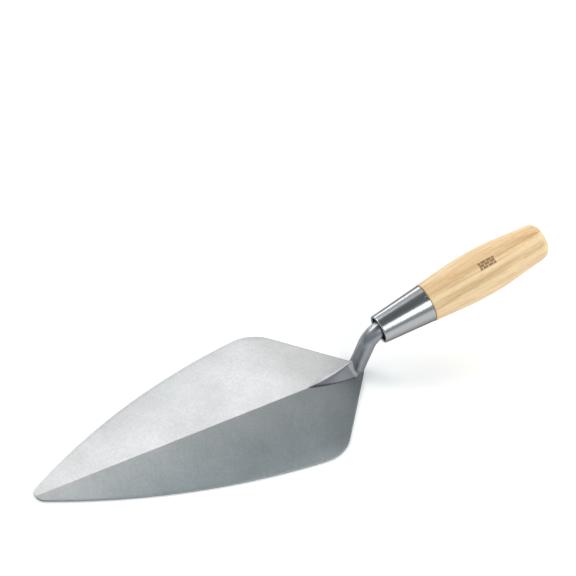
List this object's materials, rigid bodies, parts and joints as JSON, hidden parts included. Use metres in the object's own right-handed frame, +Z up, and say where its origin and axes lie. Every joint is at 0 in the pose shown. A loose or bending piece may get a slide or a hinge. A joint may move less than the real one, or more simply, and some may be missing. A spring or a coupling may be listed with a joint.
{
  "type": "brick trowel",
  "caption": "Kite-shaped steel blade with a rounded point and shoulders, a gooseneck shank on its centreline, a tapered steel ferrule and a turned wooden handle.",
  "frame": {"origin": "where the axis of the shank's leg meets the flat underside of the blade, on the centreline", "axes": "+X along the blade's centreline from its point towards the handle, +Z up out of the blade's top, so that the tool is symmetric about Y = 0"},
  "size_m": [0.4368, 0.1396, 0.0801],
  "materials": {
    "blade_steel": "satin ground spring steel, finely brushed across each half of the blade",
    "forged_steel": "tumbled forging with soft grinding marks",
    "ferrule_steel": "bright polished steel tube",
    "handle_wood": "pale turned hardwood under a clear satin lacquer"
  },
  "bodies": {
    "root": {"blade": "blade_steel", "shank": "forged_steel", "ferrule": "ferrule_steel", "handle": "handle_wood"}
  },
  "joints": []
}
